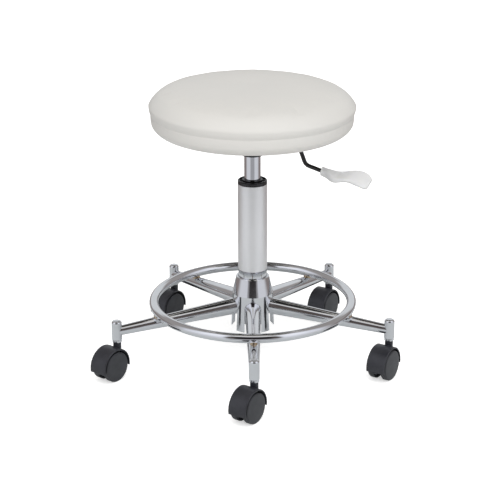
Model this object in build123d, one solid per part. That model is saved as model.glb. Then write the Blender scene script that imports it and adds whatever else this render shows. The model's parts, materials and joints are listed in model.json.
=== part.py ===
from build123d import *
import math
import os

# Dentist stool: a round padded seat on a gas lift, on a five-leg chromed base with a foot ring and
# five twin-wheel casters. Millimetres, +Z up. The origin is on the floor, on the column's axis, and
# the front leg points to -Y. The gas lift is drawn at its lowest position.

# Base: five tapered tubes welded round a hub
SPOKE_ANGLES = {
    "front": -90.0,
    "front_right": -18.0,
    "back_right": 54.0,
    "back_left": 126.0,
    "front_left": 198.0,
}
STEM_CIRCLE_R = 244.0
LEG_Z_AT_HUB = 102.6
LEG_Z_AT_SOCKET = 82.3
LEG_R_AT_HUB = 14.4
LEG_R_AT_SOCKET = 8.2
LEG_WALL = 1.6

HUB_TOP_Z = 155.0
HUB_CREASE_Z = 124.5
HUB_BOTTOM_Z = 61.0
HUB_TOP_R = 28.5
HUB_CREASE_R = 35.0
HUB_BOTTOM_R = 37.4
HUB_WALL = 2.0
HUB_LIP_R = 24.9
HUB_LIP_T = 2.0
HUB_SLOT_GAP = 0.2

SLEEVE_R = 26.4
SLEEVE_BOTTOM_Z = 72.0
SLEEVE_TOP_Z = 151.0

RING_R = 171.5
RING_TUBE_R = 8.0
RING_TUBE_WALL = 1.2
RING_WELD_GAP = 0.4
RING_WELD_R = 6.5

SOCKET_R = 8.7
SOCKET_BOTTOM_Z = 63.7
SOCKET_TOP_Z = 101.7
SOCKET_BORE_R = 5.6
SOCKET_BORE_DEPTH = 32.0
SOCKET_CROWN = 4.2
SOCKET_NECK_R = 8.2
SOCKET_NECK_H = 3.5

# Gas lift: stand tube, sleeve and bush stay with the base
COLUMN_R = 25.0
COLUMN_BOTTOM_Z = 168.0
COLUMN_TOP_Z = 321.5
STAND_R = 23.4
STAND_BORE_R = 21.6
STAND_BOTTOM_Z = 92.0
SHANK_TOP_R = 24.6
SHANK_BOTTOM_R = 23.6
TUBE_FLOOR_T = 4.0
TUBE_FLOOR_BORE_R = 5.4
BUSH_RIM_Z = 328.0
BUSH_COLLAR_Z = 329.2
BUSH_COLLAR_R = 17.2
BUSH_GROOVE_R = 22.6
BUSH_GROOVE_DEPTH = 3.0
BUSH_RIBS = 12
BUSH_LENGTH = 76.0

LIFT_STROKE = 130.0
CYLINDER_R = 14.0
CYLINDER_BORE_R = 12.8
CYLINDER_BOTTOM_Z = 122.0
CYLINDER_TAPER_Z = 371.0
CYLINDER_TOP_Z = 398.0
CYLINDER_TOP_R = 13.6
CYLINDER_HEAD_T = 12.0
RUNNING_GAP = 0.05
GLAND_H = 12.0
ROD_R = 5.0
ROD_BOTTOM_Z = 82.0
PISTON_H = 16.0
PISTON_GROOVE = 1.2
PIN_R = 4.0
PIN_BOTTOM_Z = 379.0
PIN_TOP_Z = 405.4

RACE_R = 12.0
RACE_T = 2.0
BALL_R = 1.95
BALL_COUNT = 12
BALL_CIRCLE_R = 8.6
BUMPER_H = 14.0
CLIP_Z = 88.5
CLIP_T = 1.5

# Seat mechanism
PLATE_TOP_Z = 414.7
PLATE_T = 2.5
PLATE_SIDE = 152.0
PLATE_CORNER = 14.0
PLATE_LIP_H = 9.0
BOLT_SPACING = 110.0
BOLT_R = 3.9
BOLT_HOLE_R = 4.3
BOLT_HEAD_R = 6.5
BOLT_FLANGE_R = 8.5
BOLT_HEAD_H = 5.0
BOSS_R = 18.6
BOSS_RIM_H = 1.2
BOSS_UPPER_BORE_R = 15.2
BOSS_SLOT_Z = 399.6
BOSS_SLOT_W = 15.0

LEVER_ANGLE = -25.0
PIVOT_R = 36.0
PIVOT_Z = 407.5
PIVOT_PIN_R = 2.5
PIVOT_PIN_L = 22.0
LUG_T = 3.0
LUG_LENGTH = 12.0
LUG_DROP = 11.0
LEVER_ROD_R = 3.5
LEVER_EYE_W = 12.0
LEVER_EYE_R = 4.4
LEVER_ARM_T = 4.0
LEVER_ARM_W = 11.0
LEVER_ARM_Z = 407.8
LEVER_KNEE_R = 84.5
LEVER_KNEE_Z = 399.0
LEVER_ELBOW_R = 97.5
LEVER_ELBOW_Z = 366.2
LEVER_GRIP_START_R = 126.5
LEVER_GRIP_START_Z = 359.0
LEVER_BEND_R = 13.0
LEVER_TANG = 26.0
GRIP_CORNER = 0.94
GRIP_LEAN = -0.15

# Lever grip: (distance from the column's axis, height, half width, half thickness, roll in degrees)
GRIP_STATIONS = (
    (127.0, 359.0, 7.5, 7.5, 0.0),
    (137.0, 356.0, 9.2, 7.2, 2.0),
    (149.0, 352.4, 15.4, 5.9, 5.0),
    (160.0, 352.6, 18.0, 4.4, 7.0),
    (176.0, 355.8, 18.6, 3.8, 9.0),
    (190.0, 355.0, 18.8, 3.6, 16.0),
    (202.0, 351.4, 17.4, 3.3, 22.0),
    (209.0, 347.8, 14.4, 2.6, 23.0),
    (211.4, 346.6, 11.6, 1.6, 23.0),
)

# Seat
SEAT_TOP_Z = 495.0
SEAT_BOTTOM_Z = 415.5
SEAT_WIDE_R = 173.6
SEAT_WIDE_Z = 458.0
SEAT_SEAM_R = 171.0
SEAT_SEAM_Z = 446.0
SEAT_BAND_R = 167.2
SEAT_BAND_Z = 429.5
SEAT_CROWN_R = 128.0
SEAT_CROWN_Z = 486.4
SEAT_SHOULDER = (158.2, 475.4)
SEAT_UNDER_MID = (160.2, 420.2)
SEAT_UNDER_R = 141.0
COVER_T = 1.2
COVER_WRAP_R = 122.0
BOARD_R = 139.0
BOARD_T = 15.0
DUST_R = 132.0
DUST_T = 0.8
TEE_FLANGE_R = 9.5
TEE_FLANGE_T = 1.6
TEE_BARREL_R = 5.2
TEE_BARREL_L = 11.0

# Casters: twin hooded wheels behind a stem
CASTER_HEADINGS = {
    "front": 55.0,
    "front_right": 58.0,
    "back_right": 57.0,
    "back_left": 53.0,
    "front_left": 51.0,
}
WHEEL_R = 26.2
WHEEL_INNER = 6.5
WHEEL_EDGE = 17.0
WHEEL_FACE = 18.4
WHEEL_RIM_T = 4.5
WHEEL_WEB = 14.0
WHEEL_HUB_R = 6.5
WHEEL_CORNER = 2.2
TRAIL = 18.8
AXLE_R = 3.0
AXLE_HALF = 13.0
HOOD_R = 32.0
HOOD_T = 2.5
HOOD_HALF = 16.8
HOOD_START = -9.0
HOOD_SWEEP = 199.0
BODY_WEB_HALF = 3.0
BODY_HUB_R = 8.0
BODY_HUB_HALF = 6.0
BOSS_LOWER_R = 5.9
BOSS_UPPER_R = 6.9
BOSS_TOP_Z = 63.2
BOSS_STEP_Z = 52.0
BOSS_BOTTOM_Z = 31.0
STEM_LOWER_R = 4.0
STEM_LOWER_Z = 34.0
STEM_UPPER_R = 4.9
STEM_SHOULDER_Z = 63.45
STEM_TOP_Z = 94.0
GRIP_RING_R = 5.55
GRIP_RING_Z = (70.0, 90.0)
GRIP_RING_SLIT = 2.0

PLATE_BOTTOM_Z = PLATE_TOP_Z - PLATE_T
CYLINDER_TAPER = (CYLINDER_R - CYLINDER_TOP_R) / (CYLINDER_TOP_Z - 1.0 - CYLINDER_TAPER_Z)
SPREAD = STEM_CIRCLE_R - SLEEVE_R
LEG_SLOPE = (LEG_Z_AT_SOCKET - LEG_Z_AT_HUB) / SPREAD
LEG_LENGTH = math.hypot(SPREAD, LEG_Z_AT_SOCKET - LEG_Z_AT_HUB)
LEG_TAPER = (LEG_R_AT_HUB - LEG_R_AT_SOCKET) / LEG_LENGTH
PISTON_BOTTOM_Z = CYLINDER_BOTTOM_Z + GLAND_H + LIFT_STROKE + 4.0
TUBE_FLOOR_TOP_Z = STAND_BOTTOM_Z + TUBE_FLOOR_T
BALL_Z = TUBE_FLOOR_TOP_Z + RACE_T + BALL_R + RUNNING_GAP / 2
UPPER_RACE_Z = TUBE_FLOOR_TOP_Z + RACE_T + 2 * BALL_R + RUNNING_GAP
BUMPER_Z = UPPER_RACE_Z + RACE_T


def turned(points):
    """A solid of revolution about Z from the corners of a closed outline of (radius, height)."""
    outline = Polyline(*points, close=True)
    return revolve(Plane.XZ * make_face(outline), Axis.Z)


def disc(radius, low, high, bore=0.0):
    body = Pos(0, 0, low) * Cylinder(radius, high - low, align=(Align.CENTER, Align.CENTER, Align.MIN))
    if bore:
        body -= Pos(0, 0, low) * Cylinder(bore, high - low, align=(Align.CENTER, Align.CENTER, Align.MIN))
    return body


def spoke(name):
    """The frame of one leg: X points out along it, Z is up, and the origin is on the floor."""
    return Rot(0, 0, SPOKE_ANGLES[name])


def leg_cone(grow=0.0, start=-6.0, end=6.0):
    """The outer cone of a leg in its spoke's frame, run past both ends."""
    tilt = math.degrees(math.atan(LEG_SLOPE))
    plane = Plane(
        origin=(SLEEVE_R, 0, LEG_Z_AT_HUB),
        x_dir=(0, 1, 0),
        z_dir=(math.cos(math.radians(tilt)), 0, math.sin(math.radians(tilt))),
    )
    low_r = LEG_R_AT_HUB - LEG_TAPER * start + grow
    high_r = LEG_R_AT_HUB - LEG_TAPER * (LEG_LENGTH + end) + grow
    cone = Cone(low_r, high_r, LEG_LENGTH + end - start, align=(Align.CENTER, Align.CENTER, Align.MIN))
    return plane * Pos(0, 0, start) * cone


def leg_z(radius):
    return LEG_Z_AT_HUB + LEG_SLOPE * (radius - SLEEVE_R)


def leg_radius(radius):
    return LEG_R_AT_HUB - LEG_TAPER * (radius - SLEEVE_R)


RING_Z = leg_z(RING_R) + leg_radius(RING_R) + RING_TUBE_R + RING_WELD_GAP


def hub_sleeve():
    """The inner tube that the legs are welded to; its bore holds the lift's tapered shank."""
    return turned(
        [
            (SHANK_BOTTOM_R, SLEEVE_BOTTOM_Z),
            (SLEEVE_R, SLEEVE_BOTTOM_Z),
            (SLEEVE_R, SLEEVE_TOP_Z),
            (shank_radius(SLEEVE_TOP_Z), SLEEVE_TOP_Z),
            (SHANK_BOTTOM_R, STAND_BOTTOM_Z),
        ]
    )


def shank_radius(z):
    share = (z - STAND_BOTTOM_Z) / (COLUMN_BOTTOM_Z - STAND_BOTTOM_Z)
    return SHANK_BOTTOM_R + share * (SHANK_TOP_R - SHANK_BOTTOM_R)


def hub_shell():
    """The pressed outer bell: a cone over a flared skirt, slotted from below for each leg."""
    shell = turned(
        [
            (HUB_LIP_R, HUB_TOP_Z - HUB_LIP_T),
            (HUB_LIP_R, HUB_TOP_Z - 0.5),
            (HUB_LIP_R + 0.5, HUB_TOP_Z),
            (HUB_TOP_R - 0.8, HUB_TOP_Z),
            (HUB_TOP_R, HUB_TOP_Z - 0.8),
            (HUB_CREASE_R, HUB_CREASE_Z),
            (HUB_BOTTOM_R, HUB_BOTTOM_Z),
            (HUB_BOTTOM_R - HUB_WALL, HUB_BOTTOM_Z),
            (HUB_CREASE_R - HUB_WALL, HUB_CREASE_Z - 0.4),
            (HUB_TOP_R - HUB_WALL + 0.4, HUB_TOP_Z - HUB_LIP_T),
        ]
    )
    half = LEG_R_AT_HUB + HUB_SLOT_GAP
    slot_h = LEG_Z_AT_HUB - HUB_BOTTOM_Z + 4.0
    slot = Pos(SLEEVE_R + 12, 0, HUB_BOTTOM_Z - 4.0) * Box(
        28, 2 * half - 0.6, slot_h, align=(Align.CENTER, Align.CENTER, Align.MIN)
    )
    for name in SPOKE_ANGLES:
        shell -= spoke(name) * leg_cone(HUB_SLOT_GAP)
        shell -= spoke(name) * slot
    return shell


def leg(name):
    tube = leg_cone() - leg_cone(-LEG_WALL, -8.0, 8.0)
    tube -= disc(SLEEVE_R, 40, 160)
    tube -= Pos(STEM_CIRCLE_R, 0, 0) * disc(SOCKET_R, 40, 130)
    keep = Pos(STEM_CIRCLE_R / 2, 0, 100) * Box(STEM_CIRCLE_R, 60, 100)
    return spoke(name) * (tube & keep).solids().sort_by(SortBy.VOLUME)[-1]


def foot_ring():
    ring = Torus(RING_R, RING_TUBE_R) - Torus(RING_R, RING_TUBE_R - RING_TUBE_WALL)
    return Pos(0, 0, RING_Z) * ring


def ring_welds():
    """A small saddle of weld between the ring and each leg."""
    beads = []
    ring = Pos(0, 0, RING_Z) * Torus(RING_R, RING_TUBE_R)
    for name in SPOKE_ANGLES:
        low = leg_z(RING_R)
        bead = Pos(RING_R, 0, low) * Cylinder(
            RING_WELD_R, RING_Z - low - 1.5, align=(Align.CENTER, Align.CENTER, Align.MIN)
        )
        bead = spoke(name) * (bead - leg_cone()) - ring
        beads.append(bead.solids().sort_by(SortBy.VOLUME)[-1])
    return Compound(beads)


def leg_socket(name):
    """The vertical cup at a leg's end, with a crowned top and a blind bore for the caster's stem."""
    diagonal = SOCKET_CROWN * math.sqrt(0.5)
    crown = ThreePointArc(
        (SOCKET_R, SOCKET_TOP_Z - SOCKET_CROWN),
        (SOCKET_R - SOCKET_CROWN + diagonal, SOCKET_TOP_Z - SOCKET_CROWN + diagonal),
        (SOCKET_R - SOCKET_CROWN, SOCKET_TOP_Z),
    )
    bore_top = SOCKET_BOTTOM_Z + SOCKET_BORE_DEPTH
    wall = Polyline(
        crown @ 1,
        (0, SOCKET_TOP_Z),
        (0, bore_top),
        (SOCKET_BORE_R, bore_top),
        (SOCKET_BORE_R, SOCKET_BOTTOM_Z),
        (SOCKET_NECK_R, SOCKET_BOTTOM_Z),
        (SOCKET_NECK_R, SOCKET_BOTTOM_Z + SOCKET_NECK_H),
        (SOCKET_R, SOCKET_BOTTOM_Z + SOCKET_NECK_H + 0.8),
        (SOCKET_R, SOCKET_TOP_Z - SOCKET_CROWN),
    )
    cup = revolve(Plane.XZ * make_face([crown, wall]), Axis.Z)
    return spoke(name) * Pos(STEM_CIRCLE_R, 0, 0) * cup


def caster_stems():
    """Five turned stems: the upper half sits in the leg's socket, the lower half is the swivel pin."""
    stem = turned(
        [
            (0, STEM_LOWER_Z),
            (STEM_LOWER_R - 0.8, STEM_LOWER_Z),
            (STEM_LOWER_R, STEM_LOWER_Z + 0.8),
            (STEM_LOWER_R, STEM_SHOULDER_Z),
            (STEM_UPPER_R, STEM_SHOULDER_Z),
            (STEM_UPPER_R, STEM_TOP_Z - 2.0),
            (STEM_UPPER_R - 2.0, STEM_TOP_Z),
            (0, STEM_TOP_Z),
        ]
    )
    return Compound([spoke(name) * Pos(STEM_CIRCLE_R, 0, 0) * stem for name in SPOKE_ANGLES])


def stem_grip_rings():
    """Split spring sleeves that hold the stems in the sockets."""
    low, high = GRIP_RING_Z
    ring = disc(GRIP_RING_R, low, high, STEM_UPPER_R)
    ring -= Pos(GRIP_RING_R, 0, (low + high) / 2) * Box(2 * GRIP_RING_R, GRIP_RING_SLIT, high - low + 2)
    return Compound([spoke(name) * Pos(STEM_CIRCLE_R, 0, 0) * ring for name in SPOKE_ANGLES])


def column_sleeve():
    return turned(
        [
            (STAND_R, COLUMN_BOTTOM_Z),
            (COLUMN_R - 0.6, COLUMN_BOTTOM_Z),
            (COLUMN_R, COLUMN_BOTTOM_Z + 0.6),
            (COLUMN_R, COLUMN_TOP_Z - 0.4),
            (COLUMN_R - 0.4, COLUMN_TOP_Z),
            (STAND_R, COLUMN_TOP_Z),
        ]
    )


def stand_tube():
    """The lift's outer tube: a tapered shank below, a plain tube inside the sleeve above."""
    return turned(
        [
            (STAND_BORE_R, STAND_BOTTOM_Z),
            (SHANK_BOTTOM_R, STAND_BOTTOM_Z),
            (SHANK_TOP_R, COLUMN_BOTTOM_Z),
            (STAND_R, COLUMN_BOTTOM_Z),
            (STAND_R, COLUMN_TOP_Z),
            (STAND_BORE_R, COLUMN_TOP_Z),
        ]
    )


def tube_floor():
    return disc(STAND_BORE_R, STAND_BOTTOM_Z, TUBE_FLOOR_TOP_Z, TUBE_FLOOR_BORE_R)


def guide_bush():
    """The plastic bush in the column's mouth: a rim, a ribbed groove and a collar round the bore."""
    bore = CYLINDER_R + RUNNING_GAP
    floor_z = BUSH_RIM_Z - BUSH_GROOVE_DEPTH
    bush = turned(
        [
            (bore, COLUMN_TOP_Z - BUSH_LENGTH),
            (STAND_BORE_R, COLUMN_TOP_Z - BUSH_LENGTH),
            (STAND_BORE_R, COLUMN_TOP_Z),
            (COLUMN_R, COLUMN_TOP_Z),
            (COLUMN_R, BUSH_RIM_Z - 1.2),
            (COLUMN_R - 1.2, BUSH_RIM_Z),
            (BUSH_GROOVE_R, BUSH_RIM_Z),
            (BUSH_GROOVE_R, floor_z),
            (BUSH_COLLAR_R, floor_z),
            (BUSH_COLLAR_R, BUSH_COLLAR_Z - 0.6),
            (BUSH_COLLAR_R - 0.6, BUSH_COLLAR_Z),
            (bore + 0.8, BUSH_COLLAR_Z),
            (bore, BUSH_COLLAR_Z - 0.8),
        ]
    )
    length = BUSH_GROOVE_R - BUSH_COLLAR_R + 0.8
    rib = Pos((BUSH_GROOVE_R + BUSH_COLLAR_R) / 2, 0, floor_z + 0.9) * Box(length, 1.6, 2.2)
    for turn in range(BUSH_RIBS):
        bush += Rot(0, 0, turn * 360 / BUSH_RIBS) * rib
    return bush


def bearing_lower_race():
    return disc(RACE_R, TUBE_FLOOR_TOP_Z, TUBE_FLOOR_TOP_Z + RACE_T, TUBE_FLOOR_BORE_R)


def bearing_balls():
    balls = []
    for turn in range(BALL_COUNT):
        place = Rot(0, 0, turn * 360 / BALL_COUNT) * Pos(BALL_CIRCLE_R, 0, BALL_Z)
        balls.append(place * Sphere(BALL_R))
    return Compound(balls)


def bearing_upper_race():
    return disc(RACE_R, UPPER_RACE_Z, UPPER_RACE_Z + RACE_T, ROD_R)


def rubber_bumper():
    """The ribbed rubber stop that the cylinder lands on at the bottom of its travel."""
    outer = RACE_R
    waist = outer - 2.0
    step = BUMPER_H / 4
    return turned(
        [
            (ROD_R, BUMPER_Z),
            (outer, BUMPER_Z),
            (outer, BUMPER_Z + step),
            (waist, BUMPER_Z + 1.6 * step),
            (waist, BUMPER_Z + 2.2 * step),
            (outer, BUMPER_Z + 2.8 * step),
            (outer, BUMPER_Z + BUMPER_H - 0.8),
            (outer - 0.8, BUMPER_Z + BUMPER_H),
            (ROD_R, BUMPER_Z + BUMPER_H),
        ]
    )


def piston_rod():
    rod = disc(ROD_R, ROD_BOTTOM_Z, PISTON_BOTTOM_Z + PISTON_H)
    groove = disc(ROD_R + 1, CLIP_Z, CLIP_Z + CLIP_T, ROD_R - 1.0)
    return rod - groove


def piston():
    """The piston head on the rod's top, with a seal groove."""
    radius = CYLINDER_BORE_R - RUNNING_GAP
    low = PISTON_BOTTOM_Z
    middle = low + PISTON_H / 2
    return turned(
        [
            (ROD_R, low),
            (radius, low),
            (radius, middle - 2),
            (radius - PISTON_GROOVE, middle - 2),
            (radius - PISTON_GROOVE, middle + 2),
            (radius, middle + 2),
            (radius, low + PISTON_H),
            (ROD_R, low + PISTON_H),
        ]
    )


def retaining_clip():
    """The C-clip in the rod's groove, under the tube's floor."""
    clip = disc(ROD_R + 4.0, CLIP_Z, CLIP_Z + CLIP_T, ROD_R - 1.0)
    return clip - Pos(ROD_R + 1, 0, CLIP_Z) * Box(2 * ROD_R + 2, 2 * ROD_R - 2.4, 4)


def gas_cylinder():
    """The chromed pressure tube: it slides in the bush, and its tapered top is wedged in the seat."""
    head_z = CYLINDER_TOP_Z - CYLINDER_HEAD_T
    pin_bore = PIN_R + RUNNING_GAP
    return turned(
        [
            (CYLINDER_BORE_R, CYLINDER_BOTTOM_Z),
            (CYLINDER_R - 0.4, CYLINDER_BOTTOM_Z),
            (CYLINDER_R, CYLINDER_BOTTOM_Z + 0.8),
            (CYLINDER_R, CYLINDER_TAPER_Z),
            (CYLINDER_TOP_R, CYLINDER_TOP_Z - 1.0),
            (CYLINDER_TOP_R - 1.0, CYLINDER_TOP_Z),
            (pin_bore, CYLINDER_TOP_Z),
            (pin_bore, head_z),
            (CYLINDER_BORE_R, head_z),
        ]
    )


def rod_gland():
    """The plug that closes the cylinder's lower end and guides the rod."""
    return disc(CYLINDER_BORE_R, CYLINDER_BOTTOM_Z, CYLINDER_BOTTOM_Z + GLAND_H, ROD_R + RUNNING_GAP)


def release_pin():
    return disc(PIN_R, PIN_BOTTOM_Z, PIN_TOP_Z - 1.0) + Pos(0, 0, PIN_TOP_Z - 0.5) * Cone(
        PIN_R, PIN_R - 1.0, 1.0
    )


def bolt_places():
    half = BOLT_SPACING / 2
    return [(x, y) for x in (-half, half) for y in (-half, half)]


def lever_frame():
    """The lever's own frame: X points out along it from the column's axis."""
    return Rot(0, 0, LEVER_ANGLE)


def mounting_plate():
    """The pressed seat plate with its tapered boss, folded lips and the two lever lugs."""
    blank = Rectangle(PLATE_SIDE, PLATE_SIDE)
    blank = fillet(blank.vertices(), PLATE_CORNER)
    plate = Pos(0, 0, PLATE_BOTTOM_Z) * extrude(blank, PLATE_T)
    lip_w = PLATE_SIDE - 2 * PLATE_CORNER
    for side in (-1, 1):
        lip = Pos(0, side * (PLATE_SIDE - PLATE_T) / 2, PLATE_TOP_Z - PLATE_LIP_H / 2)
        plate += lip * Box(lip_w, PLATE_T, PLATE_LIP_H)
    plate += turned(
        [
            (0, CYLINDER_TAPER_Z),
            (CYLINDER_R + 1.2, CYLINDER_TAPER_Z),
            (BOSS_R, CYLINDER_TAPER_Z + BOSS_RIM_H),
            (BOSS_R, PLATE_BOTTOM_Z - 4.0),
            (BOSS_R + 4.0, PLATE_BOTTOM_Z + 0.5),
            (0, PLATE_BOTTOM_Z + 0.5),
        ]
    )
    plate -= turned(
        [
            (0, CYLINDER_TAPER_Z - 1),
            (CYLINDER_R + CYLINDER_TAPER, CYLINDER_TAPER_Z - 1),
            (CYLINDER_TOP_R, CYLINDER_TOP_Z - 1.0),
            (CYLINDER_TOP_R, BOSS_SLOT_Z),
            (BOSS_UPPER_BORE_R, BOSS_SLOT_Z),
            (BOSS_UPPER_BORE_R, PLATE_BOTTOM_Z),
            (0, PLATE_BOTTOM_Z),
        ]
    )
    slot_h = PLATE_BOTTOM_Z - BOSS_SLOT_Z
    slot = Pos(BOSS_R, 0, BOSS_SLOT_Z + slot_h / 2) * Box(2 * BOSS_R, BOSS_SLOT_W, slot_h)
    plate -= lever_frame() * slot
    lug_y = LEVER_EYE_W / 2 + 0.5 + LUG_T / 2
    for side in (-1, 1):
        lug = Pos(PIVOT_R, side * lug_y, PLATE_BOTTOM_Z - LUG_DROP / 2 + 0.2)
        plate += lever_frame() * lug * Box(LUG_LENGTH, LUG_T, LUG_DROP + 0.4)
    pin_hole = Pos(PIVOT_R, 0, PIVOT_Z) * Rot(90, 0, 0) * Cylinder(PIVOT_PIN_R, 40)
    plate -= lever_frame() * pin_hole
    for x, y in bolt_places():
        plate -= Pos(x, y, 0) * disc(BOLT_HOLE_R, PLATE_BOTTOM_Z - 1, PLATE_TOP_Z + 1)
    return plate


def plate_bolts():
    """Four hex flange bolts that hold the seat plate to the tee nuts."""
    bolts = []
    top = SEAT_BOTTOM_Z + COVER_T + BOARD_T - 1.0
    for x, y in bolt_places():
        flange = Pos(x, y, PLATE_BOTTOM_Z - 1.4) * extrude(Circle(BOLT_FLANGE_R), 1.4)
        hexagon = Pos(x, y, PLATE_BOTTOM_Z - 1.4 - BOLT_HEAD_H) * extrude(
            RegularPolygon(BOLT_HEAD_R, 6, major_radius=False), BOLT_HEAD_H
        )
        shank = Pos(x, y, 0) * disc(BOLT_R, PLATE_BOTTOM_Z - 2.0, top)
        bolts.append(flange + hexagon + shank)
    return Compound(bolts)


def lever_path():
    """The lever rod's centre line in the lever's frame, from its eye to inside the grip."""
    run = LEVER_GRIP_START_R - LEVER_ELBOW_R
    drop = LEVER_GRIP_START_Z - LEVER_ELBOW_Z
    share = (run + LEVER_TANG) / run
    return FilletPolyline(
        (PIVOT_R, 0, PIVOT_Z),
        (LEVER_KNEE_R, 0, LEVER_KNEE_Z),
        (LEVER_ELBOW_R, 0, LEVER_ELBOW_Z),
        (LEVER_ELBOW_R + run * share, 0, LEVER_ELBOW_Z + drop * share),
        radius=LEVER_BEND_R,
    )


def lever_rod():
    """The bent release lever: a flat arm over the release pin, an eye on the pivot and a round rod."""
    path = lever_path()
    rod = sweep(Plane(path @ 0, z_dir=path % 0) * Circle(LEVER_ROD_R), path)
    arm = Pos((PIVOT_R - 3.0) / 2, 0, LEVER_ARM_Z) * Box(PIVOT_R + 3.0, LEVER_ARM_W, LEVER_ARM_T)
    eye = Pos(PIVOT_R, 0, PIVOT_Z) * Rot(90, 0, 0) * Cylinder(LEVER_EYE_R, LEVER_EYE_W)
    hole = Pos(PIVOT_R, 0, PIVOT_Z) * Rot(90, 0, 0) * Cylinder(PIVOT_PIN_R + RUNNING_GAP, 30)
    return lever_frame() * (rod + arm + eye - hole)


def lever_pivot_pin():
    pin = Pos(PIVOT_R, 0, PIVOT_Z) * Rot(90, 0, 0) * Cylinder(PIVOT_PIN_R, PIVOT_PIN_L)
    return lever_frame() * pin


def lever_grip():
    """The moulded paddle on the lever's end: a round socket that flattens into a drooping blade."""
    sections = []
    for out, height, half_w, half_t, roll in GRIP_STATIONS:
        plane = Plane(origin=(out, 0, height), x_dir=(0, 1, 0), z_dir=(1, 0, GRIP_LEAN)) * Rot(0, 0, roll)
        sections.append(plane * RectangleRounded(2 * half_w, 2 * half_t, GRIP_CORNER * half_t))
    paddle = loft(sections)
    path = lever_path()
    core = sweep(Plane(path @ 0, z_dir=path % 0) * Circle(LEVER_ROD_R), path)
    return lever_frame() * (paddle - core)


def seat_outline(inset=0.0):
    """The cushion's half section, pulled in by inset."""
    crown_drop = SEAT_TOP_Z - SEAT_CROWN_Z
    top = ThreePointArc(
        (0, SEAT_TOP_Z - inset),
        (SEAT_CROWN_R / 2, SEAT_TOP_Z - crown_drop / 4 - inset),
        (SEAT_CROWN_R, SEAT_CROWN_Z - inset),
    )
    shoulder = ThreePointArc(
        top @ 1,
        (SEAT_SHOULDER[0] - inset * 0.6, SEAT_SHOULDER[1] - inset * 0.8),
        (SEAT_WIDE_R - inset, SEAT_WIDE_Z),
    )
    side = Polyline(
        shoulder @ 1,
        (SEAT_SEAM_R - inset, SEAT_SEAM_Z),
        (SEAT_BAND_R + 1.2 - inset, SEAT_SEAM_Z - 6),
        (SEAT_BAND_R - inset, SEAT_BAND_Z),
    )
    under = ThreePointArc(
        side @ 1,
        (SEAT_UNDER_MID[0] - inset * 0.6, SEAT_UNDER_MID[1] + inset * 0.8),
        (SEAT_UNDER_R, SEAT_BOTTOM_Z + inset),
    )
    closing = Polyline(under @ 1, (0, SEAT_BOTTOM_Z + inset), (0, SEAT_TOP_Z - inset))
    return make_face([top, shoulder, side, under, closing])


def seat_body(inset=0.0):
    return revolve(Plane.XZ * seat_outline(inset), Axis.Z)


def seat_cover():
    """The sewn vinyl cover, wrapped round the board's edge and open below."""
    cover = seat_body() - seat_body(COVER_T)
    return cover - disc(COVER_WRAP_R, SEAT_BOTTOM_Z - 1, SEAT_BOTTOM_Z + COVER_T + 0.5)


def seat_board():
    low = SEAT_BOTTOM_Z + COVER_T
    board = disc(BOARD_R, low, low + BOARD_T)
    for x, y in bolt_places():
        board -= Pos(x, y, 0) * disc(TEE_BARREL_R, low - 1, low + BOARD_T + 1)
    return board


def tee_nuts():
    """Four tee nuts pressed into the board from above."""
    nuts = []
    top = SEAT_BOTTOM_Z + COVER_T + BOARD_T
    for x, y in bolt_places():
        flange = disc(TEE_FLANGE_R, top, top + TEE_FLANGE_T, BOLT_R)
        barrel = disc(TEE_BARREL_R, top - TEE_BARREL_L, top, BOLT_R)
        nuts.append(Pos(x, y, 0) * (flange + barrel))
    return Compound(nuts)


def seat_foam():
    """The foam pad that fills the cover above and around the board."""
    low = SEAT_BOTTOM_Z + COVER_T
    top = low + BOARD_T
    foam = seat_body(COVER_T) - disc(BOARD_R, low - 1, top)
    for x, y in bolt_places():
        foam -= Pos(x, y, 0) * disc(TEE_FLANGE_R, top - 1, top + TEE_FLANGE_T)
    return foam


def dust_cover():
    """The thin cloth disc that hides the raw edge of the cover under the board."""
    cloth = disc(DUST_R, PLATE_TOP_Z, PLATE_TOP_Z + DUST_T)
    for x, y in bolt_places():
        cloth -= Pos(x, y, 0) * disc(BOLT_HOLE_R, PLATE_TOP_Z - 1, PLATE_TOP_Z + 2)
    return cloth


def caster_frame(name):
    """A caster's own frame: origin on the floor under its axle, X towards the stem, Y along the axle."""
    angle = math.radians(SPOKE_ANGLES[name])
    heading = math.radians(CASTER_HEADINGS[name])
    x = STEM_CIRCLE_R * math.cos(angle) - TRAIL * math.cos(heading)
    y = STEM_CIRCLE_R * math.sin(angle) - TRAIL * math.sin(heading)
    return Pos(x, y, 0) * Rot(0, 0, CASTER_HEADINGS[name])


def about_axle(points):
    """A solid turned about the axle from a closed outline of (place along the axle, radius)."""
    outline = Polyline(*[(radius, along) for along, radius in points], close=True)
    body = revolve(Plane.XZ * make_face(outline), Axis.Z)
    return Pos(0, 0, WHEEL_R) * Rot(-90, 0, 0) * body


def axle_disc(half, radius):
    return Pos(0, 0, WHEEL_R) * Rot(-90, 0, 0) * Cylinder(radius, 2 * half)


def hood():
    """The curved fender over both wheels."""
    ring = about_axle(
        [
            (-HOOD_HALF, HOOD_R - HOOD_T),
            (-HOOD_HALF, HOOD_R - 1.0),
            (-HOOD_HALF + 1.0, HOOD_R),
            (HOOD_HALF - 1.0, HOOD_R),
            (HOOD_HALF, HOOD_R - 1.0),
            (HOOD_HALF, HOOD_R - HOOD_T),
        ]
    )
    wedge = CenterArc((0, 0), 3 * HOOD_R, HOOD_START, HOOD_SWEEP)
    sector = make_face([wedge, Line(wedge @ 1, (0, 0)), Line((0, 0), wedge @ 0)])
    keep = extrude(Plane.XZ * sector, HOOD_R, both=True)
    return ring & Pos(0, 0, WHEEL_R) * keep


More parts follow.
